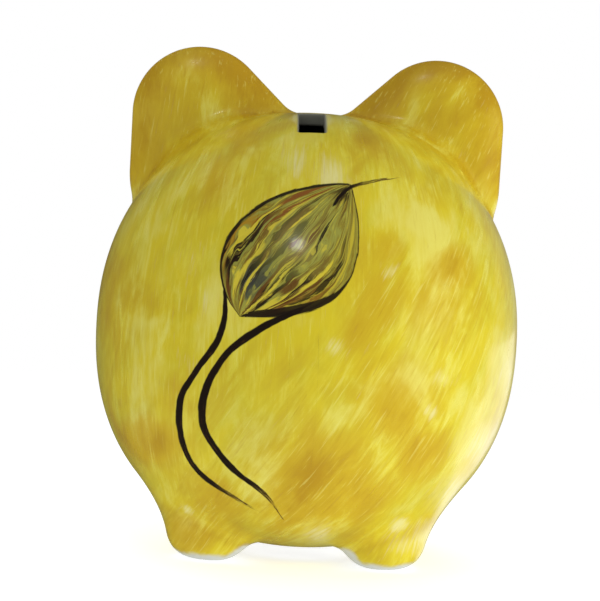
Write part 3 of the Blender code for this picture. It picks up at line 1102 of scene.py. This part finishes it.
def brush_line(nodes, name, ground):
    """One dark line with slightly ragged sides that runs dry and brown at its end."""
    off, along, half = nodes.stored(name)
    place = nodes.join(off, along, 0.0)
    wobble = nodes.noise(1.1, 3.5, seed=6.0, detail=2, place=place)
    bristles = nodes.noise(0.22, 14, seed=11.0, detail=2, place=place)
    length = line_length(BRUSH_LINES[name][0])
    dry = nodes.ramp(along, length - DRY_LENGTH, length)
    side = nodes.away(nodes.sway(off, wobble, 0.55))
    cover = nodes.ramp(nodes.minus(half, side), 0.0, 0.28)
    gaps = nodes.times(dry, nodes.ramp(bristles, 0.45, 0.6))
    cover = nodes.math("SUBTRACT", cover, gaps, clamp=True)
    worn = nodes.plus(nodes.times(dry, 0.8), nodes.ramp(bristles, 0.62, 0.72, 0.0, 0.35))
    return nodes.mix(cover, ground, nodes.mix(worn, DARK_UMBER, UMBER)), cover


def bare_rim(nodes):
    """1 where a foot is bare below the glaze, whose end is uneven and higher on the inner side."""
    x, _y, z = nodes.split(nodes.place)
    drip = nodes.noise(5.0, seed=1.0, detail=3)
    glaze_end = nodes.plus(GLAZE_END * MM, nodes.times(drip, GLAZE_DRIP * MM))
    start, end, rise = (size * MM for size in GLAZE_RISE)
    glaze_end = nodes.plus(glaze_end, nodes.ramp(nodes.away(x), start, end, 0.0, rise))
    return nodes.ramp(nodes.minus(glaze_end, z), GLAZE_EDGE[0] * MM, GLAZE_EDGE[1] * MM)


def glaze_material():
    """Paint brushed on white clay under a clear gloss glaze."""
    nodes = Nodes("brushed_glaze")
    ochre, crease, pale = nodes.stored("tone")
    inner, foot, eyes = nodes.stored("zone")
    color, cover = brushed_ground(nodes, ochre, pale)
    # Paint gathered in the creases of the joints, darkened further as painted shade of the crease.
    crease_paint_and_shade = nodes.times(crease, nodes.ramp(cover, 0.35, 0.6, 0.3, 0.95))
    color = nodes.mix(nodes.times(crease_paint_and_shade, 0.7), color, OCHRE_DEEP)
    color = nodes.layer(color, UMBER, crease_paint_and_shade, 0.5, 1.1, 0.45)
    color, bud = painted_bud(nodes, color)
    relief = nodes.times(bud, 0.3)
    for name in BRUSH_LINES:
        color, line = brush_line(nodes, name, color)
        relief = nodes.plus(relief, nodes.times(line, 0.4))
    color = nodes.layer(color, DARK_UMBER, eyes, 0.5, 0.58)
    bare = nodes.times(foot, bare_rim(nodes))
    color = nodes.mix(bare, color, BARE_CLAY)
    # The inside takes the bare clay painted darker as shade in the hollows.
    nodes.feed("Base Color", nodes.mix(inner, color, SHADED_INNER_CLAY))
    dull = nodes.math("MAXIMUM", bare, inner)
    shine = nodes.sway(0.30, cover, 0.25)
    nodes.feed("Roughness", nodes.math("MAXIMUM", shine, nodes.times(dull, 0.75)))
    nodes.feed("IOR", 1.5)
    matt = nodes.math("MAXIMUM", dull, nodes.ramp(ochre, 0.3, 0.9, 0.0, 0.8))
    nodes.feed("Coat Weight", nodes.ramp(matt, 0.0, 1.0, 0.5, 0.0))
    nodes.feed("Coat Roughness", 0.12)
    nodes.feed("Specular IOR Level", 0.35)
    nodes.bump(nodes.plus(nodes.times(cover, 0.5), relief), 0.5, PAINT_RELIEF)
    return nodes.material


def rubber_material():
    """Matt moulded rubber with a fine bloom."""
    nodes = Nodes("pale_rubber")
    grain = nodes.noise(0.5, seed=2.0, detail=4)
    bloom = nodes.noise(7.0, seed=4.0, detail=3)
    color = nodes.layer(RUBBER, RUBBER_BLOOM, bloom, 0.35, 0.7)
    nodes.feed("Base Color", nodes.layer(color, RUBBER_GRAIN, grain, 0.55, 0.75, 0.25))
    nodes.feed("Roughness", nodes.ramp(bloom, 0.3, 0.7, 0.5, 0.68))
    nodes.feed("Specular IOR Level", 0.4)
    nodes.bump(grain, 0.35, RUBBER_RELIEF)
    return nodes.material


# ---- the stopper ----

def stopper_distance(points):
    """A flange with two finger pockets, and a ribbed hollow barrel above it."""
    x, y, z = np.moveaxis(points, -1, 0)
    z = z - FLANGE_TOP
    radius = np.hypot(x, y)
    dome = FLANGE_DOME * np.minimum(radius / FLANGE_RADIUS, 1.2) ** 1.5
    flange = rounded(radius - FLANGE_RADIUS, np.maximum(z, dome - FLANGE_THICKNESS - z), FLANGE_EDGE)
    outline = np.full(radius.shape, BARREL_RADIUS)
    for height in RIB_HEIGHTS:
        outline = outline + RIB_RISE * smooth_ramp(1 - np.abs(z - height) / RIB_WIDTH, 0, 1)
    taper, taper_height = BARREL_TAPER
    outline = outline - taper * smooth_ramp(z, BARREL_HEIGHT - taper_height, BARREL_HEIGHT)
    barrel = rounded(radius - outline, np.maximum(z - BARREL_HEIGHT, -1 - z), BARREL_EDGE)
    hollow = smooth_max(radius - BARREL_RADIUS + BARREL_WALL, WEB_THICKNESS - z, 1.0)
    body = smooth_max(smooth_min(flange, barrel, 0.5), -hollow, 0.6)
    for side in (-1, 1):
        sideways = np.abs(x) - POCKET_HALF_SIZE[0]
        endways = np.abs(y - side * POCKET_OFFSET) - POCKET_HALF_SIZE[1]
        pocket = rounded(sideways, endways, POCKET_CORNER)
        pocket = smooth_max(pocket, z + FLANGE_THICKNESS - POCKET_HALF_SIZE[2], 0.8)
        body = smooth_max(body, -pocket, 0.7)
    return body


def build_stopper():
    """The rubber stopper."""
    reach = FLANGE_RADIUS + 0.9
    low = (-reach, -reach, FLANGE_TOP - FLANGE_THICKNESS - 0.8)
    high = (reach, reach, FLANGE_TOP + BARREL_HEIGHT + 0.8)
    cell = RUBBER_CELL
    points, faces = surface_net(stopper_distance, low, high, cell)
    points = relaxed(stopper_distance, points, faces, 3)
    return make_object("rubber_stopper", points, faces)


# ---- stage, light and camera ----

def build_floor():
    """A pale floor that fades out around the bank and doesn't hide it from below."""
    mesh = bpy.data.meshes.new("floor")
    corners = [(x * STAGE_HALF_SIZE, y * STAGE_HALF_SIZE, 0) for x, y in ((-1, -1), (1, -1), (1, 1), (-1, 1))]
    mesh.from_pydata(corners, [], [(0, 1, 2, 3)])
    floor = add_object("floor", mesh)
    floor.location.z = -STAGE_DROP
    nodes = Nodes("pale_floor")
    nodes.feed("Base Color", STAGE_COLOR)
    nodes.feed("Emission Color", WHITE)
    nodes.feed("Emission Strength", STAGE_GLOW)
    nodes.feed("Roughness", 0.9)
    length = nodes.add("VectorMath", nodes.place)
    length.operation = "LENGTH"
    fade = nodes.ramp(length.outputs["Value"], *STAGE_FADE)
    side = nodes.add("NewGeometry").outputs["Backfacing"]
    clear = nodes.add("BsdfTransparent").outputs[0]
    blend = nodes.add("MixShader", nodes.math("MAXIMUM", fade, side), nodes.shader.outputs[0], clear)
    put(nodes.tree, blend.outputs[0], nodes.tree.nodes["Material Output"].inputs["Surface"])
    mesh.materials.append(nodes.material)
    floor.visible_glossy = False
    floor.visible_shadow = False


def area_light(name, place, aim, size, power, reflected, lights=True):
    """A soft light, in metres and watts, which may be kept out of reflections, or only be in them."""
    light = bpy.data.lights.new(name, "AREA")
    light.shape = "RECTANGLE"
    light.size, light.size_y = size
    light.energy = power
    made = add_object(name, light)
    made.visible_glossy = reflected
    made.visible_diffuse = lights
    made.location = place
    made.rotation_euler = (Vector(aim) - Vector(place)).to_track_quat("-Z", "Y").to_euler()


def build_world():
    """White to look at, a soft grey as a light, and a darker room in reflections."""
    world = bpy.data.worlds.new("studio")
    bpy.context.scene.world = world
    world.use_nodes = True
    world.cycles.sampling_method = "NONE"
    tree = world.node_tree
    tree.nodes.clear()
    rays = add_node(tree, "LightPath").outputs
    light, reflected, seen = (add_node(tree, "Background", WHITE, strength).outputs[0]
                              for strength in (WORLD_LIGHT, WORLD_REFLECTED, 1.0))
    light = add_node(tree, "MixShader", rays["Is Glossy Ray"], light, reflected).outputs[0]
    light = add_node(tree, "MixShader", rays["Is Camera Ray"], light, seen).outputs[0]
    add_node(tree, "OutputWorld", light)


def build_camera():
    """A long lens behind the bank, a little above its middle and slightly rolled."""
    back = np.array([math.sin(CAMERA_AZIMUTH) * math.cos(CAMERA_RISE),
                     -math.cos(CAMERA_AZIMUTH) * math.cos(CAMERA_RISE), math.sin(CAMERA_RISE)])
    right = np.array([math.cos(CAMERA_AZIMUTH), math.sin(CAMERA_AZIMUTH), 0.0])
    up = np.cross(back, right)
    rolled_right = math.cos(CAMERA_ROLL) * right + math.sin(CAMERA_ROLL) * up
    rolled_up = math.cos(CAMERA_ROLL) * up - math.sin(CAMERA_ROLL) * right
    place = CENTER + CAMERA_DISTANCE * back
    place = place + CAMERA_OFFSET[0] * rolled_right + CAMERA_OFFSET[1] * rolled_up
    data = bpy.data.cameras.new("camera")
    data.sensor_fit = "HORIZONTAL"
    data.lens = LENS
    data.clip_start = 0.01
    camera = add_object("camera", data)
    turn = Matrix((rolled_right, rolled_up, back)).transposed().to_4x4()
    camera.matrix_world = Matrix.Translation(place * MM) @ turn
    bpy.context.scene.camera = camera


def build_lights():
    """A strong light from the right as seen from the camera, weaker ones round about, two sheens
    that only show as reflections along the right side, and a small lamp that makes the highlights.
    """
    middle = (0.0, 0.004, 0.055)
    area_light("key", (-1.0, 0.28, 0.08), middle, (0.7, 0.7), 7.0, False)
    area_light("fill", (0.8, 0.9, 0.45), middle, (0.8, 0.8), 1.4, False)
    area_light("low", (-0.45, 0.7, -0.5), middle, (0.8, 0.5), 0.8, False)
    area_light("top", (0.0, 0.2, 1.1), middle, (0.9, 0.9), 1.3, False)
    area_light("front", (0.3, -1.0, 0.5), middle, (0.8, 0.8), 6.0, False)
    area_light("sheen", (-0.68, -0.81, -0.27), middle, (0.72, 0.5), 1.05, True, lights=False)
    area_light("sheen_above", (-0.45, -1.0, 0.2), middle, (0.8, 0.5), 0.22, True, lights=False)
    area_light("lamp", (0.16, 0.60, 0.84), middle, (0.10, 0.10), 0.5, True)


# ---- putting it together ----

def main():
    """Build the bank's pieces, its stopper, the stage, the lights and the camera."""
    bpy.context.scene.view_settings.view_transform = "Standard"
    glaze = glaze_material()
    parts = joined_parts()
    shell = build_shell(parts)
    shell.data.materials.append(glaze)
    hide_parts("body_shell")
    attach(shell, "bank")
    for name in parts:
        piece = build_joined(name, parts)
        piece.data.materials.append(glaze)
        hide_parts(name)
        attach(piece, "bank")
    stopper = build_stopper()
    stopper.data.materials.append(rubber_material())
    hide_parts("stopper")
    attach(stopper, "stopper")
    build_floor()
    build_world()
    build_lights()
    build_camera()


main()
